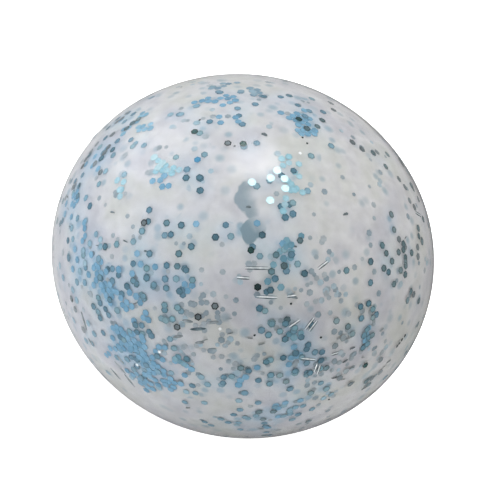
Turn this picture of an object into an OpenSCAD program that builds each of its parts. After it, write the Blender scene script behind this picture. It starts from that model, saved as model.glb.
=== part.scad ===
// Squishy ball: a clear, soft skin closed by a fill plug, round a milky gel with
// hexagonal glitter flakes that have settled against the skin in drifts.
// Millimetres, +Z up. The origin is the middle of the flat patch that the ball rests on.
// Azimuths are counted from the front (-Y) towards +X, height angles up from the widest ring.

/* [Ball] */
// Width at the widest ring
ball_w = 75; // [70:0.5:90]
// Rise from the widest ring to the crown
crown_rise = 35.2; // [32:0.1:38]
// Depth that the ball settles on the table, which leaves its flat resting patch
settle = 1.2; // [0.6:0.1:3]
// Height angle where the belt's arc runs into the crown's arc
shoulder_angle = 45; // [35:1:55]

/* [Skin] */
// Wall of the clear skin
skin_t = 2; // [1.4:0.1:3.5]

/* [Fill plug] */
// Diameter of the stem in the fill hole
plug_stem_d = 4.5; // [3:0.1:6]
// Diameter of the outer head
plug_head_d = 9; // [7:0.1:11]
// Thickness of the outer head
plug_head_t = 0.7; // [0.4:0.05:0.9]
// Diameter of the barbed flange that holds the plug from inside
plug_flange_d = 8; // [7:0.1:11]
// Thickness of the flange
plug_flange_t = 1.4; // [1:0.1:2]
// Height of the head above the table
plug_sink = 0.2; // [0.1:0.05:0.3]
// Room left round the plug
plug_gap = 0.1; // [0.05:0.05:0.2]

/* [Filling] */
// Film between skin and filling, where the flakes lie
film_t = 0.9; // [0.8:0.05:1.5]

/* [Glitter] */
// Width of a flake across its corners
flake_w = 1.6; // [1:0.1:2]
// Thickness of a flake
flake_t = 0.1; // [0.05:0.01:0.12]
// Room between the skin and the outermost flakes
flake_room = 0.15; // [0.1:0.01:0.25]
// Thickness of one layer of flakes
layer_t = 0.2; // [0.15:0.01:0.25]
// Number of places round the ball where a flake can lie
places = 2400; // [800:100:2600]
// Farthest that a flake slips off its place
slip_r = 0.25; // [0:0.05:0.25]
// Share of the places outside the drifts that hold a flake
stray_share = 0.06; // [0:0.01:0.2]
// Seed of the scatter
scatter_seed = 7; // [1:1:99]

/* [Hidden] */
$fn = 96;

// Oval outline: a belt arc and a crown arc that share their tangent at the shoulder.
arc_shift = (ball_w / 2 - crown_rise) / (sin(shoulder_angle) + cos(shoulder_angle) - 1);
belt_r = ball_w / 2 - arc_shift * cos(shoulder_angle);
belt_x = ball_w / 2 - belt_r;
crown_r = crown_rise + arc_shift * sin(shoulder_angle);
crown_drop = crown_r - crown_rise;
belt_z = crown_rise - settle;
wedge_reach = 2 * ball_w;

// Colours of the clear skin, the cloudy plug, the gel and the foil.
skin_colour = [0.9, 0.93, 0.95, 0.35];
plug_colour = [0.86, 0.89, 0.91];
gel_colour = [0.8, 0.81, 0.83];
foil_colour = [0.36, 0.56, 0.68];

// Fill plug: seats for its head and flange, from the table upwards.
head_top = plug_sink + plug_head_t;
flange_z = skin_t + plug_gap;
flange_top = flange_z + plug_flange_t;
barb_tip_d = (plug_stem_d + plug_flange_d) / 2;

// Filling: its flat underside lies one film above the skin's inner floor.
filling_inset = skin_t + film_t;

// Glitter: places on a spiral that turns by the golden angle, in three layers.
golden_angle = 180 * (3 - sqrt(5));
layers = 3;
slip_angle = slip_r / belt_r * 180 / PI;
pick = rands(0, 1, places, scatter_seed);
slip_across = rands(-slip_angle, slip_angle, places, scatter_seed + 1);
slip_along = rands(-slip_angle, slip_angle, places, scatter_seed + 2);
spin = rands(0, 60, places, scatter_seed + 3);

// Drifts of flakes: azimuth, height angle, reach as an angle, share of places filled in the middle.
front_drifts = [
    [-85, 42, 6.5, 1],
    [-73, 8, 9.5, 0.85],
    [-72, 27, 7.5, 0.6],
    [-68, 43, 5, 0.85],
    [-66, 71, 8.5, 0.55],
    [-57, 85, 6.5, 0.55],
    [-52, -1, 11, 0.8],
    [-51, 28, 5, 0.45],
    [-45, 59, 10.5, 0.3],
    [-40, 36, 4, 0.9],
    [-39, -27, 11, 0.4],
    [-39, -6, 6.5, 0.9],
    [-28, 43, 7, 0.4],
    [-28, 23, 6.5, 0.65],
    [-28, -19, 6.5, 0.85],
    [-27, 8, 5.5, 0.95],
    [-27, -4, 8, 0.55],
    [-19, -30, 10.5, 1],
    [-17, 57, 4, 0.5],
    [-15, 25, 3.5, 0.6],
    [-15, 9, 5, 1],
    [-14, -4, 4.5, 0.75],
    [-9, -20, 3.5, 0.55],
    [3, 28, 4, 0.55],
    [10, -19, 4, 0.75],
    [10, 53, 6, 0.6],
    [10, 15, 4, 0.9],
    [11, 42, 3.5, 0.75],
    [14, 25, 7, 1],
    [17, -43, 10, 0.5],
    [19, 2, 5, 0.95],
    [21, 75, 6.5, 1],
    [26, -11, 11, 0.7],
    [29, -33, 6, 0.65],
    [46, 4, 7.5, 0.65],
    [58, 27, 7.5, 0.6]
];
back_drifts = [
    [95, -15, 10, 0.6],
    [110, 45, 10, 0.5],
    [130, 10, 14, 0.5],
    [140, -40, 10, 0.6],
    [165, -15, 14, 0.6],
    [180, 40, 14, 0.5],
    [-165, -35, 12, 0.7],
    [-150, 5, 14, 0.5],
    [-125, -20, 12, 0.8],
    [-110, 20, 12, 0.5]
];
drifts = concat(front_drifts, back_drifts);

// Zones of flakes: rows by height angle, and in each row one zone per side.
crown_from = 55;
rows = [["shoulder", 25, crown_from], ["upper_belt", 0, 25], ["lower_belt", -25, 0], ["foot", -90, -25]];
sides = ["front", "right", "back", "left"];
side_angle = 360 / len(sides);
crown_zone = ["flakes_crown", crown_from, 90, 0, 360];
zones = concat(
    [crown_zone],
    [
        for (row = rows, side = [0 : len(sides) - 1])
            [
                str("flakes_", row[0], "_", sides[side]),
                row[1],
                row[2],
                (side - 0.5) * side_angle,
                (side + 0.5) * side_angle
            ]
    ]
);

// Outward normal of the oval at an azimuth and a height angle.
function normal_at(az, el) = [cos(el) * sin(az), -cos(el) * cos(az), sin(el)];

// Distance from the axis, and height, of the outline drawn in by depth, where its normal rises by el.
function ring_at(el, depth) =
    abs(el) < shoulder_angle ? belt_x + (belt_r - depth) * cos(el) : (crown_r - depth) * cos(el);
function height_at(el, depth) =
    abs(el) < shoulder_angle
        ? belt_z + (belt_r - depth) * sin(el)
        : belt_z - sign(el) * crown_drop + (crown_r - depth) * sin(el);

// Place on the spiral: its azimuth, from 0 to 360, its height angle and its layer's depth.
function azimuth_of(place) = (place * golden_angle) % 360;
function height_angle_of(place) = asin(1 - (2 * place + 1) / places);
function depth_of(place) = skin_t + flake_room + (place % layers) * layer_t;

// How full the wall is with flakes at a normal: the strays, and each drift fading with the angle to it.
function sum(values) = values * [for (value = values) 1];
function angle_to(normal, drift) = acos(max(-1, min(1, normal * normal_at(drift[0], drift[1]))));
function fullness(normal) =
    stray_share + sum([for (drift = drifts) drift[3] * exp(-pow(angle_to(normal, drift) / drift[2], 2))]);

// A place holds a flake where the drifts reach it and the flake clears the flat floor of the skin.
function holds_flake(place) =
    let (az = azimuth_of(place), el = height_angle_of(place))
    height_at(el, depth_of(place)) > skin_t + flake_room + flake_w
        && pick[place] < fullness(normal_at(az, el));

function in_zone(place, zone) =
    let (az = azimuth_of(place), el = height_angle_of(place))
    el >= zone[1] && el < zone[2]
        && (az + 360 - zone[3]) % 360 < zone[4] - zone[3];

// Slice of a disc between two height angles.
module arc_slice(r, from, to) {
    middle = (from + to) / 2;
    intersection() {
        circle(r);
        polygon([
            [0, 0],
            wedge_reach * [cos(from), sin(from)],
            wedge_reach * [cos(middle), sin(middle)],
            wedge_reach * [cos(to), sin(to)]
        ]);
    }
}

// Right half of the ball's outline, drawn in by inset and cut flat at the height floor_z.
module oval(inset, floor_z) {
    intersection() {
        translate([0, belt_z]) {
            translate([belt_x, 0]) arc_slice(belt_r - inset, -shoulder_angle, shoulder_angle);
            translate([0, -crown_drop]) arc_slice(crown_r - inset, shoulder_angle, 90);
            translate([0, crown_drop]) arc_slice(crown_r - inset, -90, -shoulder_angle);
        }
        translate([0, floor_z]) square(wedge_reach);
    }
}

// Wall of the skin with its stepped fill hole.
module skin_outline() {
    difference() {
        oval(0, 0);
        oval(skin_t, skin_t);
        square([plug_stem_d / 2 + plug_gap, skin_t]);
        square([plug_head_d / 2 + plug_gap, head_top + plug_gap]);
    }
}

// Lower half of the skin, from the resting patch to the widest ring.
module skin_base() {
    color(skin_colour)
        rotate_extrude()
            intersection() {
                skin_outline();
                square([wedge_reach, belt_z]);
            }
}

// Upper half of the skin, which is pressed down.
module skin_crown() {
    color(skin_colour)
        rotate_extrude()
            intersection() {
                skin_outline();
                translate([0, belt_z]) square(wedge_reach);
            }
}

// Plug of the fill hole: a flat head, a stem and a barbed flange.
module fill_plug() {
    color(plug_colour)
        rotate_extrude()
            polygon([
                [0, plug_sink],
                [plug_head_d / 2, plug_sink],
                [plug_head_d / 2, head_top],
                [plug_stem_d / 2, head_top],
                [plug_stem_d / 2, flange_z],
                [plug_flange_d / 2, flange_z],
                [barb_tip_d / 2, flange_top],
                [0, flange_top]
            ]);
}

// Milky gel that fills the ball, with a pocket for the plug's flange.
module milky_filling() {
    color(gel_colour)
        rotate_extrude()
            difference() {
                oval(filling_inset, filling_inset);
                square([plug_flange_d / 2 + plug_gap, flange_top + plug_gap]);
            }
}

// One hexagonal flake, flat against the wall at its place.
module flake(place) {
    az = azimuth_of(place) + slip_across[place] / cos(height_angle_of(place));
    el = height_angle_of(place) + slip_along[place];
    depth = depth_of(place);
    rotate([0, 0, az])
        translate([0, -ring_at(el, depth), height_at(el, depth)])
            rotate([90 - el, 0, 0])
                rotate([0, 0, spin[place]])
                    translate([0, 0, -flake_t])
                        cylinder(h = flake_t, d = flake_w, $fn = 6);
}

// All the flakes of one zone.
module flakes(zone) {
    color(foil_colour)
        for (place = [0 : places - 1])
            if (in_zone(place, zone) && holds_flake(place)) flake(place);
}

skin_base();
skin_crown();
fill_plug();
milky_filling();
for (zone = zones)
    flakes(zone);
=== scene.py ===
"""Squishy ball: a clear rubber skin round a milky gel, with blue glitter in drifts against the skin."""

import math

import bmesh
import bpy
import numpy as np
from mathutils import Matrix, Vector


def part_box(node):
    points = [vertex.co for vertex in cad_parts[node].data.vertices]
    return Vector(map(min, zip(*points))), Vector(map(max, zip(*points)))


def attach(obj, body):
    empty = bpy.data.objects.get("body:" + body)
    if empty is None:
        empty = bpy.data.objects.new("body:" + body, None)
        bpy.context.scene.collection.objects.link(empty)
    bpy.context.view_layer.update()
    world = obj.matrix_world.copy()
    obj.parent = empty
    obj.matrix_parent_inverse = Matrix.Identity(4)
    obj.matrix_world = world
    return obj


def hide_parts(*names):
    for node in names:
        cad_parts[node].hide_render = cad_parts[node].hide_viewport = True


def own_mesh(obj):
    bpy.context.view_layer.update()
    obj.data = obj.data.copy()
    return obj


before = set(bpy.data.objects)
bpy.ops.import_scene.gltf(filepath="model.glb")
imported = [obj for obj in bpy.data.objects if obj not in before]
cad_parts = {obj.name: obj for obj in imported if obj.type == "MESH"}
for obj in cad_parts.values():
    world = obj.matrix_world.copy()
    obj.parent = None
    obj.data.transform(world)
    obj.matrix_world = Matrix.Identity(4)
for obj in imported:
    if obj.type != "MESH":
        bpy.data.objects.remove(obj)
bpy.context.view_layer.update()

MM = 0.001
DEGREE = math.pi / 180

# Ball: the oval of the skin, from the frame. A belt arc and a crown arc share their tangent at the shoulder.
base_low, base_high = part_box("skin_base")
BALL_R = (base_high[0] - base_low[0]) / 2
BELT_Z = base_high[2]
TOP_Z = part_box("skin_crown")[1][2]
SHOULDER = 45 * DEGREE
ARC_SHIFT = (BALL_R - (TOP_Z - BELT_Z)) / (math.sin(SHOULDER) + math.cos(SHOULDER) - 1)
BELT_R = BALL_R - ARC_SHIFT * math.cos(SHOULDER)
BELT_X = BALL_R - BELT_R
CROWN_R = TOP_Z - BELT_Z + ARC_SHIFT * math.sin(SHOULDER)
CROWN_DROP = CROWN_R - (TOP_Z - BELT_Z)
FOOT_CENTRE_Z = BELT_Z + CROWN_DROP
BALL_MIDDLE = Vector((0, 0, BELT_Z))
TURN_STEPS = 160
ARC_STEPS = 96
# Points nearer than this are one point, on turned pieces and on the CAD flakes.
WELD = 0.01 * MM
CAD_WELD = 0.001 * MM
# Edges sharper than this stay sharp.
SMOOTH_ANGLE = 50 * DEGREE

# Skin and plug seat.
WALL = 2.0 * MM
# Faces deeper and higher than this are the skin's inner ones.
INNER_FROM = 0.9 * WALL
# Size and height of the moulded waves in the skin.
SKIN_WAVE = 7.0 * MM
SKIN_WAVE_HEIGHT = 0.3 * MM
FOOT_FILLET = 6.0 * MM
FILLET_STEPS = 8
PLUG_GAP = 0.1 * MM
plug_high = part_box("fill_plug")[1]
HEAD_SEAT_R = plug_high[0] + PLUG_GAP
HEAD_SEAT_TOP = 1.0 * MM
STEM_SEAT_R = 2.35 * MM
FLANGE_POCKET_R = 4.1 * MM
FLANGE_POCKET_TOP = plug_high[2] + PLUG_GAP
RUBBER_IOR = 1.46

# Gel, just under the film that the flakes lie in.
GEL_INSET = TOP_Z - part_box("milky_filling")[1][2]
# Reach of the blue veil round a flake, and the crowd of flakes that makes the veil full.
DRIFT_REACH = 2.4 * MM
FULL_DRIFT = 3.0
# Patches where the milk is thin, dark on one side and fading to the other: azimuth, height angle, half
# length in mm the way they fade, half width, turn of that way from the level, and how much shows.
THIN_PATCHES = [
    (-3.4, 41.6, 2.5, 4.1, 27, 0.75),
    (1.5, 32.4, 3.2, 1.8, 66, 0.95),
    (150, 20, 2.6, 3.6, 40, 0.8),
    (-140, 48, 3.0, 2.4, 200, 0.85),
]
PATCH_DEPTH = 8.0 * MM
# How far the edges of the patches wander, in clouds of what size, and where the edge and the fading of a
# patch end and start, in its half lengths.
PATCH_WANDER = 4.0 * MM
PATCH_CLOUD = 2.8 * MM
PATCH_EDGE = (1.2, 0.75)
PATCH_FADE = (1.0, -0.4)
SMOKE_TONE = "#7A909B"
# Milk: size of its clouds and of its mottling, and its tones at their places in the clouds.
MILK_CLOUD = 9.0 * MM
MILK_MOTTLE = 2.4 * MM
MILK_TONES = [(0.36, "#C4C3C9"), (0.5, "#D0CFD1"), (0.64, "#CCCCC9")]
# Blue veil: how steeply it grows with the drift, how much of it shows at most, and its tone.
VEIL_POWER = 1.7
VEIL_MOST = 0.62
VEIL_TONE = "#A2C7DE"
# Layers of flakes sunk so deep that they are soft spots: spacing, where a spot's edge starts and ends in
# spacings, and share of the places that have a spot. Then how much that share grows in a drift, how much of
# a spot shows at least and at most, and the tones outside and inside a drift.
SPOT_LAYERS = [(2.3 * MM, 0.16, 0.44, 0.28), (3.4 * MM, 0.1, 0.4, 0.42)]
SPOTS_IN_DRIFT = 0.4
SPOT_SHOWN = (0.25, 0.8)
SPOT_TONES = ("#94A8B3", "#86AEC8")

# Glitter: one die-cut hexagon, and how thick the drifts are round each flake of the CAD model.
FLAKE_NODES = sorted(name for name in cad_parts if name.startswith("flakes_"))
FLAKE_W = 1.6 * MM
FLAKE_T = 0.06 * MM
FLAKE_RIM = 0.22 * MM
# Size of the uneven places in the foil.
FOIL_CLOUD = 0.7 * MM
# A face whose normal rises more than this is the flake's upper one.
FACES_UP = 0.9
FLAKE_SEED = 9
LOOSE_SEED = 7
CROWD_REACH = 6.0 * MM
EXTRA_PER_NEIGHBOUR = 0.05
MOST_EXTRA = 2
EXTRA_SPREAD = 1.9 * MM
FAINT_COUNT = 480
# More faint flakes about some places: azimuth, height angle, their spreads, and number of flakes.
FAINT_BANDS = [(-1, -11, 12, 7, 60), (43, -12, 13, 10, 60), (30, 17, 9, 8, 40), (-6, 2, 6, 5, 20)]
# Edge-on flakes, all over.
EDGE_ON_COUNT = 50
# Share of bare flakes in a drift, the height angles between which there are any, the azimuths between which
# all are faded, and the side on which flakes are painted grey, a painted reflection of the dim side of the
# room, with their share there and how fast it falls off.
BARE_SHARE = 0.4
BARE_HEIGHTS = (-24 * DEGREE, 40 * DEGREE)
FADED_SIDE = (-68 * DEGREE, -48 * DEGREE)
DIM_REFLECTION_SIDE = 62 * DEGREE
GREYEST_SHARE = 0.8
GREY_FALLOFF = 4

# Kinds of flake: depth of the middle, tip, direction of the axis that it tips about from the level, sizes,
# tones, how dark the rim looks beside the middle, and whether milk veils it.
# Bare, grey, blue, dark and ringed flakes lie on the skin, settled and piled ones are wetted by the milk,
# faint ones are nearly sunk in it and edge-on ones stand in it.
BARE = {
    "depth": (2.24 * MM, 2.45 * MM),
    "tip": (0, 4 * DEGREE),
    "axis": (0, 2 * math.pi),
    "size": (0.84, 0.93),
    "tones": ["#466F7E", "#557D8F", "#61899A", "#6D929C"],
    "rim": 0.6,
    "veiled": 0,
}
GREY = {**BARE, "tones": ["#5A757D", "#6A848C", "#83999F"]}
BLUE = {**BARE, "tones": ["#3D84AB", "#4B90B6"], "rim": 0.75}
DARK = {
    **BARE,
    "depth": (2.08 * MM, 2.12 * MM),
    "tip": (0, 1 * DEGREE),
    "tones": ["#1D3638", "#37605F"],
    "rim": 0.4,
    "veiled": 1,
}
RINGED = {**DARK, "tones": ["#636F74", "#7F8A8F"], "rim": 0.15}
SHADED = {**BARE, "tones": ["#636F75", "#8F999E"], "rim": 0.85}
SETTLED = {
    **BARE,
    "depth": (2.4 * MM, 2.75 * MM),
    "tip": (0, 5 * DEGREE),
    "size": (0.8, 0.93),
    "tones": ["#597F91", "#698EA2", "#799CAF", "#8DADB6"],
    "rim": 0.75,
    "veiled": 1,
}
FADED = {**SETTLED, "tones": ["#779CB0", "#8BADBE", "#A1BECB"], "rim": 0.85}
PILED = {
    **SETTLED,
    "depth": (2.45 * MM, 2.6 * MM),
    "tip": (0, 2 * DEGREE),
    "tones": ["#6F9DB8", "#7BA8C3", "#88B2CB"],
    "rim": 0.95,
}
DUSKY = {**PILED, "tones": ["#6490A3", "#76A1B3", "#8CB2BF"]}
HIGH = {**PILED, "tones": ["#7AA7BF", "#8AB4CA", "#9AC0D3"]}
MISTY = {**PILED, "tones": ["#7593A5", "#83A0B1", "#93ADBC"]}
PALE = {**PILED, "tones": ["#97C4D3", "#A4CDD9", "#B0CED9"]}
FAINT = {
    **SETTLED,
    "depth": (2.78 * MM, 2.86 * MM),
    "tip": (0, 4 * DEGREE),
    "size": (0.5, 0.85),
    "tones": ["#8C9BA5", "#9FAAB1", "#ADB3B8", "#A8BFCB"],
    "rim": 1.0,
}
EDGE_ON = {
    **FAINT,
    "depth": (2.6 * MM, 2.8 * MM),
    "tip": (62 * DEGREE, 80 * DEGREE),
    "axis": (-5 * DEGREE, 40 * DEGREE),
    "tones": ["#6A767B", "#8E989C"],
}
# Painted glints: tiny matt white flakes that stand in for glints of light.
PAINTED_GLINT = {
    **PILED,
    "depth": (2.2 * MM, 2.3 * MM),
    "size": (0.34, 0.44),
    "tones": ["#FAFCFD", "#FFFFFF"],
    "rim": 1.0,
}

# Piles, in which flakes lie side by side, by kind: azimuth, height angle, number and spacing in mm.
PILES = [
    (MISTY, [(-62, 80, 6, 1.5), (-93, 70, 6, 1.5), (-80, 78, 4, 1.5)]),
    (HIGH, [
        (-77, 45, 4, 1.35), (-74, 40, 4, 1.35),
        (-68, 45, 6, 1.35), (112, 44, 7, 1.4), (178, 42, 9, 1.4),
    ]),
    (PILED, [
        (18, 76, 13, 1.3), (25, 71, 7, 1.3), (-59, 70, 8, 1.5), (-66, 63, 4, 1.5), (-12, 8, 3, 1.4),
        (-7, -21, 5, 1.3), (11, -21, 3, 1.3), (23, -8, 2, 1.35), (-17, -18, 3, 1.35),
        (-12, -32, 8, 1.35), (-18, -28, 15, 1.3), (-25, -22, 17, 1.3), (-30, -20, 9, 1.3),
        (-24, -37, 5, 1.35), (-20, -40, 4, 1.35), (-32, -26, 4, 1.4), (-37, -32, 2, 1.5),
        (-26, -5, 4, 1.35), (-24, -10, 4, 1.35), (-32, -9, 4, 1.35), (-38, -7, 9, 1.35), (-44, -4, 9, 1.35),
        (-38, 34.5, 5, 1.35), (-56, 6, 4, 1.4), (-69, 11, 5, 1.4), (47, 2, 3, 1.4),
        (97, -14, 9, 1.35), (128, 12, 10, 1.35), (141, -39, 9, 1.35), (163, -16, 12, 1.35),
        (-166, -36, 9, 1.35), (-149, 6, 10, 1.35), (-126, -21, 12, 1.35), (-111, 21, 8, 1.4),
    ]),
    (DUSKY, [
        (13, 25, 5, 1.4), (15, 30, 5, 1.4), (12, 16, 3, 1.4), (21.5, 2, 4, 1.3), (154, -30, 6, 1.4),
    ]),
    (GREY, [(62, 29, 4, 1.6), (62, 21, 3, 1.7), (76, 31, 3, 1.6), (66, 14, 2, 1.7), (-75, 42, 3, 1.5)]),
    (BARE, [(48, 1, 3, 1.4)]),
    (PALE, [
        (-40, 38, 4, 1.35), (-37, 41, 4, 1.4), (-51, 27, 3, 1.7), (-48, 23, 2, 1.6), (9, 57, 4, 1.4),
        (11, 50, 4, 1.35), (12, 54, 4, 1.4), (15, 50, 2, 1.4), (10, 43, 3, 1.3), (172, 10, 6, 1.4),
    ]),
]
# Steps from a pile's middle that it can reach, how ragged its edge is in steps, and how far its flakes slip.
PILE_STEPS = range(-4, 5)
PILE_RAGGED = 1.7
PILE_SHIFT = 0.12 * MM
# Crowd of flakes in a drift from which some lie in piles, and in which all do.
CROWD_PILES = (5, 20)

# Single flakes that stand out, by kind: azimuth and height angle.
SINGLE_FLAKES = [
    (RINGED, [(-3.5, 4), (-7.3, -1.4), (-12.5, -7.5), (-24, 56), (-34, 20)]),
    (DARK, [(2, 25), (7, 14), (-17, 58), (-43, 54), (16, 75), (51, -10)]),
    (SHADED, [
        (-87, 38), (-87, 36), (-90, 40), (-72, 31), (-71, 29), (-81, 24), (-80, 21), (-78, 19), (-64, 24),
        (-71, 24), (-82, 11), (-102, 43), (-103, 46), (-78, 34), (-82, 27), (-77, 7), (-75, 12),
        (117, 77), (95, 77), (62, 66), (66, 63), (79, 60), (103, 51), (101, 50), (91, 44), (93, 45),
        (79, 43), (81, 40), (91, 40), (113, 51), (78, 29), (73, 28), (72, 25), (68, 13), (62, -15),
        (59, -17), (49, -18), (44, -12), (61, 33), (64, 30), (81, 50), (82, 47), (58, -9), (-56, -20),
        (-54, -23), (-50, -29), (38, 1), (36, -2), (43, -15),
        (140, 35), (158, 24), (-170, 20), (-138, 33), (-118, 40), (131, -26), (-155, -24),
    ]),
    (BARE, [
        (-44, 6), (-40, 9), (-18, -2), (-14, -1), (-22, 38), (-25, 42), (-26, 4), (-23, 3), (-27, 7),
        (-30, 1),
        (21, 2), (10, 20), (35, 24), (11, 14), (-33, 21), (45, 27), (45, 20), (51, 32), (53, 23), (42, 12),
        (-19, 16), (-15, 12), (-18, 12), (14, 3), (18, 4), (17, 1), (14, -1), (17, -10), (16, -11),
        (19, -16), (26, -13), (31, -13), (34, -11), (45, 13), (47, 11), (43, 8),
    ]),
    (FADED, [
        (41, -31), (42, -25), (44, -23), (36, -29), (33.5, -30), (29, -30), (26, -31), (19.5, -30),
        (13, -31), (33, -33), (22, -35), (15, -36), (37, -38), (32, -36), (22, -38), (18.5, -40),
        (14, -40), (18, -45), (14, -46), (5, -50), (2, -37), (-2, -33), (-5, -40), (19, 49),
        (-46, 5), (-45, 1), (-47, 7),
    ]),
    (PILED, [(-43, 63), (-38, 61.5), (-34.5, 66), (-30, 65), (26, -30), (27.5, -31.5)]),
    (SETTLED, [(-18, -7), (-16.5, -7), (-21, -14), (-20, -15), (-12, -16)]),
    (BLUE, [(-30.6, 47), (118, 30), (-150, 40)]),
    (GREY, [(34, 7)]),
    (EDGE_ON, [
        (1.4, 1), (3, -4), (-3.5, -9), (9, -4), (13, -5), (18, 14), (19, 13), (43, -3), (37, -5), (49, -7),
        (42, -8), (46, -11), (41, -15), (45, -16), (59, -22), (64, -11), (63, -13),
    ]),
    # White flakes painted as glints of light.
    (PAINTED_GLINT, [(-0.2, -3.1), (-16.4, -19.6), (-24, -29.8), (15, 61), (172, 30), (-120, 15)]),
    (PILED, [(-19, -33.2), (-17, -33.6), (-18.7, -36.9), (-15.8, -35.7), (-20.7, -36.4)]),
    (DUSKY, [(-11, -20.1), (-9.2, -20.6), (-7.9, -20.9), (-10.2, -18.9)]),
]
# Flakes that are tipped so that they flash in the light of the ceiling lamp, and of the window.
CEILING_FLASHES = [(-5, 47), (4, 53), (2, 50), (8, 51), (9, 48), (4, 43)]
WINDOW_FLASHES = [(-47, 40), (-42, 40), (-42, 38)]
FLASH_TONE = "#AECCD3"
FLASH_DEPTH = 2.15 * MM

# Creases in the skin, and deep and shallow folds in it: azimuth, height angle, length in mm, and turn from
# the level.
CREASES = [
    (5, 20, 4.4, 14), (2, 16, 2.4, 12), (10, 12, 4.0, 11), (17, 14, 1.9, 17), (25, 25, 2.6, 42),
    (19.7, 5.4, 2.5, 47), (24.2, 6.1, 2.8, 65), (25.4, 5.5, 2.6, 65), (27.2, -6, 3.1, 2),
    (30.6, -9.2, 2.1, 93), (31.8, -9.7, 2.3, 95), (35.1, -3.4, 1.5, 20),
    (128, 14, 4.0, 8), (133, 9, 2.6, 20), (-152, -6, 3.6, -14), (-95, 24, 2.8, 60), (78, 38, 3.0, -30),
]
DEEP_FOLDS = [(-6.1, -4.3, 3.1, 23), (138, -4, 2.8, 20)]
SHALLOW_FOLDS = [
    (-9.5, -2.9, 2.1, 12), (-11, -9.2, 2.1, 31), (-2.7, -0.6, 2.5, 26),
    (-4.6, -8.6, 1.8, 30), (-30.1, -33.1, 3.4, -40), (-26.7, -37.8, 3.7, -55), (-33.6, -38.8, 3.2, -47),
    (-46, -22.4, 4.0, -67), (-44, -30, 1.9, -49), (-46.3, -48.5, 2.7, -35), (-29.4, -29, 2.1, -39),
    (150, -8, 3.4, 15), (146, -11, 2.4, 20), (-140, 18, 2.4, 15), (110, 8, 3.0, 60),
]
CREASE_W = 0.27 * MM
CREASE_H = 0.07 * MM
FOLD_BREADTH = 2.4
# Lines of a crease: shift to the side and breadth in breadths of the middle one, and material.
# The middle line carries a painted highlight, the side ones painted shade.
CREASE_LINES = [(0, 1.0, "painted_highlight"), (-0.9, 0.8, "shaded"), (0.8, 0.5, "shaded")]

# Air bubbles under the skin, and a chain of larger ones: azimuth and height angle.
BUBBLES = [
    (-20, 56), (-48, 58), (17, 67), (20, 65), (-55, -20), (-30, -32), (18, 11), (30, 1), (44, -25), (10, -2),
    (100, 30), (104, 27), (140, -12), (171, 44), (-160, 12), (-128, -30), (-104, 46), (-84, 8), (-75, -14),
]
LARGE_BUBBLES = [(64.2, -4.7), (64.9, -3.8), (65.9, -2.7), (67.1, -1.5), (-133, 27), (-131, 25.5)]
BUBBLE_R = 0.23 * MM
LARGE_BUBBLE = 1.6
BUBBLE_FLATNESS = 0.6

# View of the photograph: azimuth 0, from above, with the ball's axis leaning to the right.
VIEW_RISE = 20 * DEGREE
VIEW_ROLL = 16.7 * DEGREE
VIEW_DISTANCE = 0.5
PICTURE = 500
BALL_PIXELS = 192.1
BALL_AT = (243.0, 255.7)
SENSOR_WIDTH = 36
CLIP = (0.01, 50)

# Soft glows of the room, which the skin mirrors: direction, strength and half angle.
CEILING = (-0.11, -0.02, 0.99)
WINDOW = (-0.79, 0.3, 0.54)
GLOWS = [
    (CEILING, 4.5, 16 * DEGREE),
    (WINDOW, 1.65, 26 * DEGREE),
]
ROOM_STRENGTH = 0.43
# The horizon rises to the right, and is soft between two heights. Cards below it: how far right, and
# strength. A pale card stands at the left, a dimmer one at the right, and the gap between them is dark.
HORIZON_RISE = 0.25
HORIZON = (-0.08, -0.03)
CARDS = [(-0.35, 0.62), (-0.1, 0.36), (0.05, 0.12), (0.25, 0.06), (0.33, 0.3)]
# Floor of white paper: size, corners and glow.
FLOOR_R = 6
FLOOR_SIDES = 64
FLOOR_GLOW = 0.79
# Lamps, which the skin doesn't mirror: name, direction from the ball, power and colour.
LAMP_DISTANCE = 0.9
LAMP_ACROSS = 0.5
LAMPS = [
    ("overhead", (-0.15, -0.07, 0.98), 2.65, "#FFFEFC"),
    ("left_wall", (-0.92, -0.27, 0.08), 1.85, "#F0F5FF"),
    ("right_wall", (0.9, -0.2, 0.35), 0.68, "#FFF6E4"),
]

# Where clouds of a material have wholly the one tone, and wholly the other.
CLOUD_EDGES = (0.35, 0.65)


def linear(hex_colour):
    """Linear RGBA of an sRGB hex colour."""
    channels = [int(hex_colour[i : i + 2], 16) / 255 for i in (1, 3, 5)]
    return [c / 12.92 if c <= 0.04045 else ((c + 0.055) / 1.055) ** 2.4 for c in channels] + [1.0]


# Shape of the wall

def wall_point(height_angle, depth):
    """Distance from the axis, and height, of the wall drawn in by depth, at a height angle of its normal."""
    if abs(height_angle) < SHOULDER:
        r = BELT_R - depth
        return BELT_X + r * math.cos(height_angle), BELT_Z + r * math.sin(height_angle)
    r = CROWN_R - depth
    drop = math.copysign(CROWN_DROP, height_angle)
    return r * math.cos(height_angle), BELT_Z - drop + r * math.sin(height_angle)


def wall_angles(point):
    """Azimuth from the front to the right, height angle of the wall's normal, and depth under the wall."""
    ring = math.hypot(point[0], point[1])
    azimuth = math.atan2(point[0], -point[1])
    rise = point[2] - BELT_Z
    belt_angle = math.atan2(rise, ring - BELT_X)
    if abs(belt_angle) < SHOULDER:
        return azimuth, belt_angle, BELT_R - math.hypot(rise, ring - BELT_X)
    from_centre = rise + math.copysign(CROWN_DROP, rise)
    return azimuth, math.atan2(from_centre, ring), CROWN_R - math.hypot(from_centre, ring)


def wall_frame(azimuth, height_angle, depth):
    """Matrix that puts a piece drawn flat at the origin on the wall, its +Z outwards and its +Y upwards."""
    ring, height = wall_point(height_angle, depth)
    place = Vector((ring * math.sin(azimuth), -ring * math.cos(azimuth), height))
    turn = Matrix.Rotation(azimuth, 4, "Z") @ Matrix.Rotation(math.pi / 2 - height_angle, 4, "X")
    return Matrix.Translation(place) @ turn


def arc(first, last, count, depth):
    """Points of the wall's outline from one height angle to another."""
    return [wall_point(angle, depth) for angle in np.linspace(first, last, count)]


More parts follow.
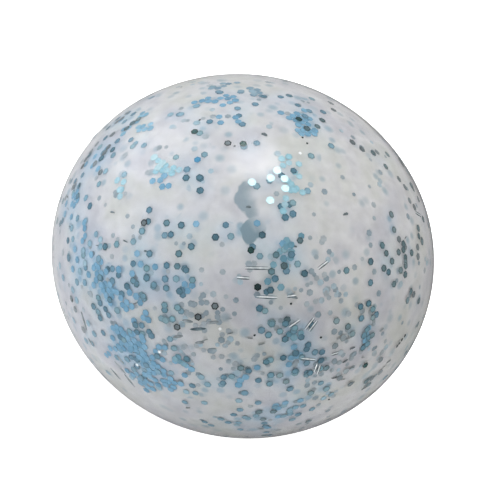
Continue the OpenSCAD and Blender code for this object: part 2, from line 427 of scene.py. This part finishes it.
def floor_angle(inset):
    """Height angle at which the wall, drawn in by inset, meets the flat floor at the same height."""
    return -math.asin((FOOT_CENTRE_Z - inset) / (CROWN_R - inset))


# Modelling

def deselect():
    """Leaves edit mode, with nothing selected."""
    if bpy.context.object and bpy.context.object.mode != "OBJECT":
        bpy.ops.object.mode_set(mode="OBJECT")
    bpy.ops.object.select_all(action="DESELECT")


def turned(name, outline):
    """A piece turned about the ball's axis: its outline is drawn point by point and spun once round."""
    deselect()
    bpy.ops.mesh.primitive_plane_add(size=MM)
    piece = bpy.context.object
    piece.name = name
    bpy.ops.object.mode_set(mode="EDIT")
    bpy.ops.mesh.merge(type="CENTER")
    here = (0.0, 0.0)
    for step, (ring, height) in enumerate(outline):
        move = (ring - here[0], 0, height - here[1])
        if step:
            bpy.ops.mesh.extrude_region_move(TRANSFORM_OT_translate={"value": move})
        else:
            bpy.ops.transform.translate(value=move)
        here = (ring, height)
    bpy.ops.mesh.select_all(action="SELECT")
    bpy.ops.mesh.spin(steps=TURN_STEPS, angle=2 * math.pi, center=(0, 0, 0), axis=(0, 0, 1))
    bpy.ops.mesh.select_all(action="SELECT")
    bpy.ops.mesh.remove_doubles(threshold=WELD)
    bpy.ops.mesh.normals_make_consistent(inside=False)
    bpy.ops.object.mode_set(mode="OBJECT")
    bpy.ops.object.shade_smooth_by_angle(angle=SMOOTH_ANGLE)
    return piece


def copied(model, matrix):
    """A copy of a model, with its own mesh, at a place."""
    copy = model.copy()
    copy.data = model.data.copy()
    bpy.context.collection.objects.link(copy)
    copy.matrix_world = matrix
    return copy


def joined(name, copies):
    """Copies joined into one piece at the origin."""
    deselect()
    for copy in copies:
        copy.select_set(True)
    bpy.context.view_layer.objects.active = copies[0]
    bpy.ops.object.join()
    bpy.ops.object.transform_apply(location=True, rotation=True, scale=True)
    piece = bpy.context.object
    piece.name = name
    return piece


def soft(piece, slot, *nodes):
    """A soft piece stands on the base."""
    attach(piece, "base")
    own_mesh(piece)
    if nodes:
        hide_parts(*nodes)


def soft_glitter(piece, *nodes):
    """Glitter in milk: the milk scatters so much light that a flake casts no shadow."""
    piece.visible_shadow = False
    soft(piece, "glitter", *nodes)


# Skin and gel

def make_skin():
    """Clear wall with its flat foot and the stepped hole that the plug sits in."""
    fillet_x = math.sqrt((CROWN_R - FOOT_FILLET) ** 2 - (FOOT_CENTRE_Z - FOOT_FILLET) ** 2)
    fillet_from = math.atan2(FOOT_FILLET - FOOT_CENTRE_Z, fillet_x)
    fillet = [
        (fillet_x + FOOT_FILLET * math.cos(a), FOOT_FILLET + FOOT_FILLET * math.sin(a))
        for a in np.linspace(fillet_from, -math.pi / 2, FILLET_STEPS)
    ]
    seat = [
        (HEAD_SEAT_R, 0),
        (HEAD_SEAT_R, HEAD_SEAT_TOP),
        (STEM_SEAT_R, HEAD_SEAT_TOP),
        (STEM_SEAT_R, WALL),
    ]
    outside = arc(math.pi / 2, fillet_from, ARC_STEPS, 0)[:-1]
    inside = arc(floor_angle(WALL), math.pi / 2, ARC_STEPS, WALL)
    skin = turned("skin", outside + fillet + seat + inside)
    skin.data.materials.append(clear_rubber())
    skin.data.materials.append(wetted_rubber())
    for face in skin.data.polygons:
        inner = wall_angles(face.center)[2] > INNER_FROM and face.center.z > INNER_FROM
        face.material_index = int(inner)
    # Lamps shine straight through the clear wall.
    skin.visible_shadow = False
    soft(skin, "clear_skin", "skin_base", "skin_crown")


def make_gel(middles):
    """Milky filling. Its colour knows how thick the glitter drifts over it."""
    pocket = [(FLANGE_POCKET_R, GEL_INSET), (FLANGE_POCKET_R, FLANGE_POCKET_TOP), (0, FLANGE_POCKET_TOP)]
    gel = turned("gel", arc(math.pi / 2, floor_angle(GEL_INSET), ARC_STEPS, GEL_INSET) + pocket)
    points = np.array([vert.co for vert in gel.data.vertices])
    crowd = np.zeros(len(points))
    for middle in middles:
        away = np.linalg.norm(points - np.array(middle), axis=1)
        crowd += np.exp(-((away / DRIFT_REACH) ** 2))
    drift = gel.data.attributes.new("drift", "FLOAT", "POINT")
    drift.data.foreach_set("value", np.clip(crowd / FULL_DRIFT, 0, 1))
    gel.data.materials.append(milky_gel())
    soft(gel, "milky_gel", "milky_filling")


# Glitter

def flake_middles(node):
    """Middles of the flakes of a CAD node."""
    cad = bmesh.new()
    cad.from_mesh(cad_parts[node].data)
    bmesh.ops.remove_doubles(cad, verts=cad.verts, dist=CAD_WELD)
    middles = []
    seen = set()
    for start in cad.verts:
        if start in seen:
            continue
        island = [start]
        seen.add(start)
        for vert in island:
            for edge in vert.link_edges:
                other = edge.other_vert(vert)
                if other not in seen:
                    seen.add(other)
                    island.append(other)
        middles.append(sum((vert.co for vert in island), Vector()) / len(island))
    cad.free()
    return middles


def model_flake():
    """One hexagonal flake with a narrow rim, drawn flat at the origin."""
    deselect()
    bpy.ops.mesh.primitive_cylinder_add(vertices=6, radius=FLAKE_W / 2, depth=FLAKE_T)
    flake = bpy.context.object
    bpy.ops.object.mode_set(mode="EDIT")
    bpy.ops.mesh.select_mode(type="FACE")
    bpy.ops.mesh.select_all(action="DESELECT")
    bpy.ops.object.mode_set(mode="OBJECT")
    for face in flake.data.polygons:
        face.select = face.normal.z > FACES_UP
    bpy.ops.object.mode_set(mode="EDIT")
    bpy.ops.mesh.inset(thickness=FLAKE_RIM)
    bpy.ops.mesh.select_mode(type="VERT")
    bpy.ops.object.mode_set(mode="OBJECT")
    flake.data.attributes.new("tone", "FLOAT_COLOR", "FACE")
    flake.data.materials.append(glitter_foil())
    flake.data.materials.append(veiled_foil())
    return flake


def tone_of(tones, share):
    """Colour at a share of the way along a row of tones."""
    place = share * (len(tones) - 1)
    low = min(int(place), len(tones) - 2)
    first, second = (np.array(linear(tones[low + i])) for i in (0, 1))
    return first + (second - first) * (place - low)


def paint_flake(copy, tone, rim, veiled):
    """Gives a flake its tone, with a darker rim, and bare or veiled foil."""
    for face, cell in zip(copy.data.polygons, copy.data.attributes["tone"].data):
        face.material_index = veiled
        middle = math.hypot(face.center.x, face.center.y) < FLAKE_RIM
        cell.color = tone if middle else [*(tone[:3] * rim), 1]


def lay_flake(flake, kind, azimuth, height_angle, rng):
    """A flake of a kind on the wall, spun and tipped at random."""
    towards = rng.uniform(*kind["axis"])
    tip_axis = Vector((math.cos(towards), math.sin(towards), 0))
    tip = Matrix.Rotation(rng.uniform(*kind["tip"]), 4, tip_axis)
    spin = Matrix.Rotation(rng.uniform(0, math.pi / 3), 4, "Z")
    size = Matrix.Scale(rng.uniform(*kind["size"]), 4)
    wall = wall_frame(azimuth, height_angle, rng.uniform(*kind["depth"]))
    copy = copied(flake, wall @ tip @ spin @ size)
    paint_flake(copy, tone_of(kind["tones"], rng.uniform(0, 1)), kind["rim"], kind["veiled"])
    return copy


def bent_into_skin(direction, normal):
    """Direction of light inside the skin, from its direction outside, both pointing away from the ball."""
    along = (direction - normal * direction.dot(normal)) / RUBBER_IOR
    return along + normal * math.sqrt(1 - along.length_squared)


def lay_flashing_flake(flake, lamp, azimuth, height_angle):
    """A bare flake tipped halfway between the view and a lamp, so that it flashes."""
    wall = wall_frame(azimuth, height_angle, FLASH_DEPTH)
    normal = (wall.to_3x3() @ Vector((0, 0, 1))).normalized()
    to_view = (view_point() - wall.translation).normalized()
    facing = bent_into_skin(to_view, normal) + bent_into_skin(Vector(lamp).normalized(), normal)
    turn = facing.to_track_quat("Z", "Y").to_matrix().to_4x4()
    copy = copied(flake, Matrix.Translation(wall.translation) @ turn)
    paint_flake(copy, np.array(linear(FLASH_TONE)), 1.0, BARE["veiled"])
    return copy


def lies_on_wall(height_angle):
    """Whether a flake at a height angle clears the flat floor."""
    return wall_point(height_angle, GEL_INSET)[1] > GEL_INSET + FLAKE_W


def beside(azimuth, height_angle, aside, rise):
    """Azimuth and height angle of the wall a little to the side of a place and above it."""
    return wall_angles(wall_frame(azimuth, height_angle, 0) @ Vector((aside, rise, 0)))[:2]


def drift_kind(azimuth, height_angle, crowd, rng):
    """Kind of a flake in a drift: piled where it is thick, grey on one side as a painted reflection of the
    dim side of the room, faded low down and on another side, or else bare or settled."""
    pile_from = rng.uniform(*CROWD_PILES)
    greyness, bareness = rng.uniform(0, 1, 2)
    if pile_from < crowd:
        return PILED
    # Painted reflection: flakes on the dim right side are painted grey, as if they mirrored the dim room.
    if greyness < GREYEST_SHARE * max(0, math.cos(azimuth - DIM_REFLECTION_SIDE)) ** GREY_FALLOFF:
        return GREY
    if height_angle < BARE_HEIGHTS[0] or FADED_SIDE[0] < azimuth < FADED_SIDE[1]:
        return FADED
    return BARE if bareness < BARE_SHARE and height_angle < BARE_HEIGHTS[1] else SETTLED


def side_by_side(count, rng):
    """Places of flakes that lie side by side round a middle, as seen from it, in steps of their spacing."""
    cells = [Vector((i + j / 2, j * math.sqrt(3) / 2)) for i in PILE_STEPS for j in PILE_STEPS]
    far = [cell.length + rng.uniform(0, PILE_RAGGED) for cell in cells]
    turn = Matrix.Rotation(rng.uniform(0, math.pi / 3), 2)
    return [turn @ cells[i] for i in np.argsort(far)[:count]]


def make_drifts(flake, rng):
    """Flakes of each zone: one at each CAD flake, and more round it the thicker the drift."""
    zones = {node: flake_middles(node) for node in FLAKE_NODES}
    every = np.array([middle for middles in zones.values() for middle in middles])
    for node, middles in zones.items():
        copies = []
        for middle in middles:
            azimuth, height_angle = wall_angles(middle)[:2]
            crowd = (np.linalg.norm(every - np.array(middle), axis=1) < CROWD_REACH).sum() - 1
            kind = drift_kind(azimuth, height_angle, crowd, rng)
            copies.append(lay_flake(flake, kind, azimuth, height_angle, rng))
            for _ in range(min(MOST_EXTRA, rng.poisson(EXTRA_PER_NEIGHBOUR * crowd))):
                there = beside(azimuth, height_angle, *rng.normal(0, EXTRA_SPREAD, 2))
                if lies_on_wall(there[1]):
                    copies.append(lay_flake(flake, SETTLED, *there, rng))
        soft_glitter(joined(node.replace("flakes_", "glitter_"), copies), node)
    return every


def make_loose_glitter(flake, rng):
    """Flakes beside those of the drifts: piles, faint ones all over, and those that stand out."""
    copies = []
    for kind, piles in PILES:
        for azimuth, height_angle, count, spacing in piles:
            for place in side_by_side(count, rng):
                shift = np.array(place) * spacing * MM + rng.normal(0, PILE_SHIFT, 2)
                there = beside(azimuth * DEGREE, height_angle * DEGREE, *shift)
                if lies_on_wall(there[1]):
                    copies.append(lay_flake(flake, kind, *there, rng))
    for kind, count in ((FAINT, FAINT_COUNT), (EDGE_ON, EDGE_ON_COUNT)):
        for _ in range(count):
            height_angle = math.asin(rng.uniform(-1, 1))
            azimuth = rng.uniform(-math.pi, math.pi)
            if lies_on_wall(height_angle):
                copies.append(lay_flake(flake, kind, azimuth, height_angle, rng))
    for azimuth, height_angle, azimuth_spread, height_spread, count in FAINT_BANDS:
        for _ in range(count):
            there = rng.normal((azimuth, height_angle), (azimuth_spread, height_spread))
            copies.append(lay_flake(flake, FAINT, *(there * DEGREE), rng))
    for kind, places in SINGLE_FLAKES:
        for azimuth, height_angle in places:
            copies.append(lay_flake(flake, kind, azimuth * DEGREE, height_angle * DEGREE, rng))
    for lamp, places in ((CEILING, CEILING_FLASHES), (WINDOW, WINDOW_FLASHES)):
        for azimuth, height_angle in places:
            copies.append(lay_flashing_flake(flake, lamp, azimuth * DEGREE, height_angle * DEGREE))
    soft_glitter(joined("glitter_loose", copies))


def make_glitter():
    """All the glitter. Returns the middles of the CAD flakes."""
    flake = model_flake()
    middles = make_drifts(flake, np.random.default_rng(FLAKE_SEED))
    make_loose_glitter(flake, np.random.default_rng(LOOSE_SEED))
    bpy.data.objects.remove(flake)
    return middles


# Creases and bubbles

def model_crease():
    """A low welt one unit long, pointed at both ends."""
    deselect()
    bpy.ops.mesh.primitive_uv_sphere_add(segments=12, ring_count=6, radius=0.5)
    crease = bpy.context.object
    bpy.ops.object.mode_set(mode="EDIT")
    bpy.ops.transform.resize(value=(1, CREASE_W, CREASE_H * 2))
    bpy.ops.object.mode_set(mode="OBJECT")
    return crease


def make_creases():
    """Creases in the skin's outside, each a welt with a painted highlight between two folds with painted
    shade, and plain folds.
    """
    crease = model_crease()
    slots = {"painted_highlight": highlighted_crease_rubber(), "shaded": fold_shade(), "shallow": shallow_fold_shade()}
    for material in slots.values():
        crease.data.materials.append(material)
    lines = [(place, *line) for place in CREASES for line in CREASE_LINES]
    lines += [(place, 0, FOLD_BREADTH, "shaded") for place in DEEP_FOLDS]
    lines += [(place, 0, FOLD_BREADTH, "shallow") for place in SHALLOW_FOLDS]
    copies = []
    for (azimuth, height_angle, length, turn), aside, breadth, slot in lines:
        wall = wall_frame(azimuth * DEGREE, height_angle * DEGREE, 0)
        turned_wall = wall @ Matrix.Rotation(turn * DEGREE, 4, "Z")
        shift = Matrix.Translation((0, aside * CREASE_W, 0))
        copy = copied(crease, turned_wall @ shift @ Matrix.Diagonal((length * MM, breadth, 1, 1)))
        for face in copy.data.polygons:
            face.material_index = list(slots).index(slot)
        copies.append(copy)
    bpy.data.objects.remove(crease)
    soft(joined("skin_creases", copies), "clear_skin")


def make_bubbles():
    """Tiny air bubbles caught under the skin."""
    deselect()
    bpy.ops.mesh.primitive_ico_sphere_add(subdivisions=2, radius=BUBBLE_R)
    bubble = bpy.context.object
    bpy.ops.object.mode_set(mode="EDIT")
    bpy.ops.transform.resize(value=(1, 1, BUBBLE_FLATNESS))
    bpy.ops.object.mode_set(mode="OBJECT")
    bubble.data.materials.append(air_bubble())
    copies = []
    for size, places in ((1.0, BUBBLES), (LARGE_BUBBLE, LARGE_BUBBLES)):
        for azimuth, height_angle in places:
            wall = wall_frame(azimuth * DEGREE, height_angle * DEGREE, WALL)
            copies.append(copied(bubble, wall @ Matrix.Scale(size, 4)))
    bpy.data.objects.remove(bubble)
    soft(joined("air_bubbles", copies), "milky_gel")


# Materials

def add_node(tree, kind, inputs=(), **settings):
    """Adds a node, sets its settings, and gives each named input a value or another node's output."""
    node = tree.nodes.new(kind)
    for name, value in settings.items():
        setattr(node, name, value)
    for name, value in dict(inputs).items():
        if isinstance(value, bpy.types.NodeSocket):
            tree.links.new(value, node.inputs[name])
        else:
            node.inputs[name].default_value = value
    return node


def new_material(name):
    """A material with its node tree and its shader."""
    material = bpy.data.materials.new(name)
    material.use_nodes = True
    tree = material.node_tree
    return material, tree, tree.nodes["Principled BSDF"]


def clear_rubber():
    """Clear thermoplastic rubber, moulded: soft, slightly wavy highlights, and it bends light at the rim."""
    material, tree, shader = new_material("clear_thermoplastic_rubber")
    shader.inputs["Base Color"].default_value = linear("#F6F9FA")
    shader.inputs["Transmission Weight"].default_value = 1.0
    shader.inputs["IOR"].default_value = RUBBER_IOR
    shader.inputs["Roughness"].default_value = 0.13
    place = add_node(tree, "ShaderNodeTexCoord").outputs["Object"]
    waves = add_node(tree, "ShaderNodeTexNoise", {"Vector": place, "Scale": 1 / SKIN_WAVE, "Detail": 1.0})
    bump = add_node(tree, "ShaderNodeBump", {
        "Height": waves.outputs["Fac"], "Strength": 0.3, "Distance": SKIN_WAVE_HEIGHT})
    tree.links.new(bump.outputs["Normal"], shader.inputs["Normal"])
    return material


def wetted_rubber():
    """Inner face of the skin: the gel wets it, so nothing is seen of it."""
    material, _, shader = new_material("rubber_wetted_by_gel")
    shader.inputs["Alpha"].default_value = 0.0
    return material


def cloudy(tree, shader, size, tones):
    """Gives a shader a colour that drifts between two tones in clouds of a size."""
    place = add_node(tree, "ShaderNodeTexCoord").outputs["Object"]
    clouds = add_node(tree, "ShaderNodeTexNoise", {"Vector": place, "Scale": 1 / size, "Detail": 3.0})
    ramp = add_node(tree, "ShaderNodeValToRGB", {"Fac": clouds.outputs["Fac"]})
    for element, position, tone in zip(ramp.color_ramp.elements, CLOUD_EDGES, tones):
        element.position = position
        element.color = linear(tone)
    tree.links.new(ramp.outputs["Color"], shader.inputs["Base Color"])


def highlighted_crease_rubber():
    """Crease rubber painted near-white as a highlight along the crease: uneven along it, and glossy."""
    material, tree, shader = new_material("crease_rubber_painted_white_as_highlight")
    cloudy(tree, shader, 0.8 * MM, ("#B6BEC1", "#EEF1F2"))
    shader.inputs["Roughness"].default_value = 0.25
    return material


def fold_shade():
    """Deep folds, and those beside a crease, which look into the dark below them."""
    material, tree, shader = new_material("creased_rubber_in_shade")
    cloudy(tree, shader, 0.8 * MM, ("#3A474D", "#66747A"))
    shader.inputs["Roughness"].default_value = 0.6
    shader.inputs["Specular IOR Level"].default_value = 0.0
    return material


def shallow_fold_shade():
    """Painted shade of a shallow fold: a dull grey streak, paler in places."""
    material, tree, shader = new_material("shallow_fold_painted_shade")
    cloudy(tree, shader, 1.0 * MM, ("#666E72", "#8A9195"))
    shader.inputs["Roughness"].default_value = 0.6
    shader.inputs["Specular IOR Level"].default_value = 0.0
    return material


def air_bubble():
    """An air bubble in gel turns light away, so it looks nearly black, with paler skin here and there."""
    material, tree, shader = new_material("air_bubble")
    cloudy(tree, shader, 0.5 * MM, ("#12181B", "#2B3338"))
    shader.inputs["Roughness"].default_value = 0.15
    return material


def clouded_milk(tree, place):
    """Colour of the milk: clouds from lavender to a greenish grey, with finer, faint mottling."""
    clouds = add_node(tree, "ShaderNodeTexNoise", {"Vector": place, "Scale": 1 / MILK_CLOUD, "Detail": 4.0})
    milk = add_node(tree, "ShaderNodeValToRGB", {"Fac": clouds.outputs["Fac"]})
    ramp = milk.color_ramp.elements
    ramp.new(0.5)
    for element, (position, tone) in zip(ramp, MILK_TONES):
        element.position = position
        element.color = linear(tone)
    fine = add_node(tree, "ShaderNodeTexNoise", {"Vector": place, "Scale": 1 / MILK_MOTTLE, "Detail": 3.0})
    mottle = add_node(tree, "ShaderNodeMapRange", {
        "Value": fine.outputs["Fac"], "From Min": 0.3, "From Max": 0.7, "To Min": 0.92, "To Max": 1.06})
    return add_node(tree, "ShaderNodeHueSaturation", {
        "Color": milk.outputs["Color"], "Value": mottle.outputs[0]}).outputs["Color"]


def with_sunk_spots(tree, place, drift, colour):
    """Colour with the soft spots of deeply sunk flakes, more of them and bluer in the drifts."""
    outside, inside = (linear(tone) for tone in SPOT_TONES)
    spot_tone = add_node(tree, "ShaderNodeMix", {
        "Factor": drift, 6: outside, 7: inside}, data_type="RGBA").outputs[2]
    for spacing, inner, outer, common in SPOT_LAYERS:
        cells = add_node(tree, "ShaderNodeTexVoronoi", {"Vector": place, "Scale": 1 / spacing})
        soft_edge = add_node(tree, "ShaderNodeMapRange", {
            "Value": cells.outputs["Distance"], "From Min": outer, "From Max": inner},
            interpolation_type="SMOOTHSTEP")
        lots = add_node(tree, "ShaderNodeSeparateColor", {"Color": cells.outputs["Color"]})
        wanted = add_node(tree, "ShaderNodeMath", {
            0: drift, 1: SPOTS_IN_DRIFT, 2: common}, operation="MULTIPLY_ADD")
        kept = add_node(tree, "ShaderNodeMath", {
            0: lots.outputs["Red"], 1: wanted.outputs[0]}, operation="LESS_THAN")
        depth = add_node(tree, "ShaderNodeMapRange", {
            "Value": lots.outputs["Green"], "To Min": SPOT_SHOWN[0], "To Max": SPOT_SHOWN[1]})
        shown = add_node(tree, "ShaderNodeMath", {
            0: soft_edge.outputs[0], 1: kept.outputs[0]}, operation="MULTIPLY")
        shown = add_node(tree, "ShaderNodeMath", {
            0: shown.outputs[0], 1: depth.outputs[0]}, operation="MULTIPLY")
        colour = add_node(tree, "ShaderNodeMix", {
            "Factor": shown.outputs[0], 6: colour, 7: spot_tone}, data_type="RGBA").outputs[2]
    return colour


def smoke_of_patches(tree, place):
    """How smoky the milk is: patches with uneven edges where it is thin."""
    uneven = add_node(tree, "ShaderNodeTexNoise", {"Vector": place, "Scale": 1 / PATCH_CLOUD, "Detail": 1.5})
    moved = add_node(tree, "ShaderNodeVectorMath", {
        0: uneven.outputs["Color"], 1: (PATCH_WANDER,) * 3, 2: place}, operation="MULTIPLY_ADD")
    moved = add_node(tree, "ShaderNodeVectorMath", {
        0: moved.outputs[0], 1: (PATCH_WANDER / 2,) * 3}, operation="SUBTRACT")
    smoke = 0.0
    for azimuth, height_angle, half_length, half_width, turn, most in THIN_PATCHES:
        wall = wall_frame(azimuth * DEGREE, height_angle * DEGREE, GEL_INSET)
        wall = wall @ Matrix.Rotation(turn * DEGREE, 4, "Z")
        offset = add_node(tree, "ShaderNodeVectorMath", {
            0: moved.outputs[0], 1: wall.translation}, operation="SUBTRACT").outputs[0]
        along, across, inwards = (
            add_node(tree, "ShaderNodeVectorMath", {
                0: offset, 1: wall.col[i].to_3d() / half}, operation="DOT_PRODUCT").outputs["Value"]
            for i, half in enumerate((half_length * MM, half_width * MM, PATCH_DEPTH))
        )
        away = 0.0
        for part in (along, across, inwards):
            away = add_node(tree, "ShaderNodeMath", {
                0: part, 1: part, 2: away}, operation="MULTIPLY_ADD").outputs[0]
        inside = add_node(tree, "ShaderNodeMapRange", {
            "Value": away, "From Min": PATCH_EDGE[0], "From Max": PATCH_EDGE[1]},
            interpolation_type="SMOOTHSTEP").outputs[0]
        fading = add_node(tree, "ShaderNodeMapRange", {
            "Value": along, "From Min": PATCH_FADE[0], "From Max": PATCH_FADE[1], "To Max": most},
            interpolation_type="SMOOTHSTEP").outputs[0]
        patch = add_node(tree, "ShaderNodeMath", {0: inside, 1: fading}, operation="MULTIPLY").outputs[0]
        smoke = add_node(tree, "ShaderNodeMath", {0: smoke, 1: patch}, operation="MAXIMUM").outputs[0]
    return smoke


def milky_gel():
    """Milky gel: a matt, mottled white, blue where flakes lie deep in it and smoky where it is thin."""
    material, tree, shader = new_material("milky_gel")
    shader.inputs["Roughness"].default_value = 0.6
    shader.inputs["Specular IOR Level"].default_value = 0.0
    place = add_node(tree, "ShaderNodeTexCoord").outputs["Object"]
    drift = add_node(tree, "ShaderNodeAttribute", attribute_name="drift").outputs["Fac"]
    thick = add_node(tree, "ShaderNodeMath", {0: drift, 1: VEIL_POWER}, operation="POWER")
    veil = add_node(tree, "ShaderNodeMath", {0: thick.outputs[0], 1: VEIL_MOST}, operation="MULTIPLY")
    milk = clouded_milk(tree, place)
    colour = add_node(tree, "ShaderNodeMix", {
        "Factor": veil.outputs[0], 6: milk, 7: linear(VEIL_TONE)}, data_type="RGBA").outputs[2]
    colour = with_sunk_spots(tree, place, drift, colour)
    smoke = smoke_of_patches(tree, place)
    colour = add_node(tree, "ShaderNodeMix", {
        "Factor": smoke, 6: colour, 7: linear(SMOKE_TONE)}, data_type="RGBA").outputs[2]
    tree.links.new(colour, shader.inputs["Base Color"])
    return material


def foil_tone(tree, shader):
    """Gives a shader each flake's own tone, a little uneven as thin foil is."""
    tone = add_node(tree, "ShaderNodeAttribute", attribute_name="tone").outputs["Color"]
    place = add_node(tree, "ShaderNodeTexCoord").outputs["Object"]
    clouds = add_node(tree, "ShaderNodeTexNoise", {"Vector": place, "Scale": 1 / FOIL_CLOUD, "Detail": 2.0})
    uneven = add_node(tree, "ShaderNodeMapRange", {
        "Value": clouds.outputs["Fac"], "From Min": 0.3, "From Max": 0.7, "To Min": 0.9, "To Max": 1.1})
    tone = add_node(tree, "ShaderNodeHueSaturation", {"Color": tone, "Value": uneven.outputs[0]})
    tree.links.new(tone.outputs["Color"], shader.inputs["Base Color"])


def glitter_foil():
    """Metallised polyester foil, die cut: a tinted mirror whose tone is each flake's own."""
    material, tree, shader = new_material("metallised_polyester_foil")
    foil_tone(tree, shader)
    shader.inputs["Metallic"].default_value = 0.5
    shader.inputs["Roughness"].default_value = 0.35
    return material


def veiled_foil():
    """The same foil wetted by milk: the milk takes its gloss and leaves its tone."""
    material, tree, shader = new_material("foil_veiled_by_milk")
    foil_tone(tree, shader)
    shader.inputs["Roughness"].default_value = 0.7
    shader.inputs["Specular IOR Level"].default_value = 0.0
    return material


def plug_rubber():
    """Cloudy thermoplastic rubber of the plug, satin."""
    material, tree, shader = new_material("cloudy_thermoplastic_rubber")
    cloudy(tree, shader, 1.5 * MM, ("#C2CBD1", "#E1E6E9"))
    shader.inputs["Roughness"].default_value = 0.4
    return material


# Stage

def view_direction():
    """Direction in which the camera looks."""
    return Vector((0, math.cos(VIEW_RISE), -math.sin(VIEW_RISE)))


def view_point():
    """Place of the camera, before it is shifted to frame the ball."""
    return BALL_MIDDLE - view_direction() * VIEW_DISTANCE


def make_camera():
    """Camera of the photograph, moved aside so that the ball lies where the picture has it."""
    data = bpy.data.cameras.new("camera")
    camera = bpy.data.objects.new("camera", data)
    bpy.context.collection.objects.link(camera)
    bpy.context.scene.camera = camera
    half_ball = math.tan(math.asin(BALL_R / VIEW_DISTANCE))
    half_picture = half_ball * (PICTURE / 2) / BALL_PIXELS
    data.sensor_width = SENSOR_WIDTH
    data.lens = SENSOR_WIDTH / 2 / half_picture
    level = view_direction().to_track_quat("-Z", "Y").to_matrix().to_4x4()
    turn = level @ Matrix.Rotation(VIEW_ROLL, 4, "Z")
    pixel = VIEW_DISTANCE * half_picture / (PICTURE / 2)
    aside = turn @ Vector(((PICTURE / 2 - BALL_AT[0]) * pixel, (BALL_AT[1] - PICTURE / 2) * pixel, 0))
    camera.matrix_world = Matrix.Translation(view_point() + aside) @ turn
    data.clip_start, data.clip_end = CLIP


def softbox(name, direction, power, colour):
    """Soft lamp that faces the ball from a direction."""
    data = bpy.data.lights.new(name, "AREA")
    data.shape = "DISK"
    data.size = LAMP_ACROSS
    data.energy = power
    data.color = linear(colour)[:3]
    lamp = bpy.data.objects.new(name, data)
    lamp.visible_glossy = False
    bpy.context.collection.objects.link(lamp)
    away = Vector(direction).normalized()
    turn = away.to_track_quat("Z", "Y").to_matrix().to_4x4()
    lamp.matrix_world = Matrix.Translation(BALL_MIDDLE + away * LAMP_DISTANCE) @ turn


def make_floor():
    """White paper that the ball stands on."""
    deselect()
    bpy.ops.mesh.primitive_circle_add(vertices=FLOOR_SIDES, radius=FLOOR_R, fill_type="NGON")
    floor = bpy.context.object
    floor.name = "floor"
    paper, _, shader = new_material("white_paper")
    shader.inputs["Base Color"].default_value = linear("#F8F8F8")
    shader.inputs["Roughness"].default_value = 0.9
    shader.inputs["Specular IOR Level"].default_value = 0.0
    shader.inputs["Emission Color"].default_value = linear("#FFFFFF")
    shader.inputs["Emission Strength"].default_value = FLOOR_GLOW
    floor.data.materials.append(paper)
    # The skin mirrors the dim room below the horizon instead, which gives its rim the grey edge.
    floor.visible_glossy = False


def make_room():
    """Pale, even light from above the horizon, with soft glows in it, and cards with a dark gap below it."""
    world = bpy.data.worlds.new("room")
    bpy.context.scene.world = world
    world.use_nodes = True
    tree = world.node_tree
    towards = add_node(tree, "ShaderNodeTexCoord").outputs["Generated"]
    parts = add_node(tree, "ShaderNodeSeparateXYZ", {"Vector": towards}).outputs
    across = add_node(tree, "ShaderNodeMapRange", {
        "Value": parts["X"], "From Min": CARDS[0][0], "From Max": CARDS[-1][0]}).outputs[0]
    cards = add_node(tree, "ShaderNodeValToRGB", {"Fac": across})
    ramp = cards.color_ramp.elements
    for _ in CARDS[2:]:
        ramp.new(0.5)
    for element, (right, strength) in zip(ramp, CARDS):
        element.position = (right - CARDS[0][0]) / (CARDS[-1][0] - CARDS[0][0])
        element.color = (strength, strength, strength, 1)
    rise = add_node(tree, "ShaderNodeMath", {
        0: parts["X"], 1: -HORIZON_RISE, 2: parts["Z"]}, operation="MULTIPLY_ADD").outputs[0]
    light = add_node(tree, "ShaderNodeMapRange", {
        "Value": rise, "From Min": HORIZON[0], "From Max": HORIZON[1],
        "To Min": cards.outputs["Color"], "To Max": ROOM_STRENGTH}).outputs[0]
    for direction, strength, half_angle in GLOWS:
        facing = add_node(tree, "ShaderNodeVectorMath", {
            0: towards, 1: Vector(direction).normalized()}, operation="DOT_PRODUCT").outputs["Value"]
        glow = add_node(tree, "ShaderNodeMapRange", {
            "Value": facing, "From Min": math.cos(half_angle), "From Max": 1.0, "To Max": strength},
            interpolation_type="SMOOTHSTEP").outputs[0]
        light = add_node(tree, "ShaderNodeMath", {0: light, 1: glow}, operation="ADD").outputs[0]
    tree.links.new(light, tree.nodes["Background"].inputs["Strength"])
    tree.nodes["Background"].inputs["Color"].default_value = linear("#FFFFFF")


def make_stage():
    """Floor, room and lamps, in plain colours."""
    make_floor()
    make_room()
    for lamp in LAMPS:
        softbox(*lamp)
    bpy.context.scene.view_settings.view_transform = "Standard"


make_camera()
make_skin()
flake_places = make_glitter()
make_gel(flake_places)
make_creases()
make_bubbles()
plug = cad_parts["fill_plug"]
plug.data.materials.clear()
plug.data.materials.append(plug_rubber())
make_stage()
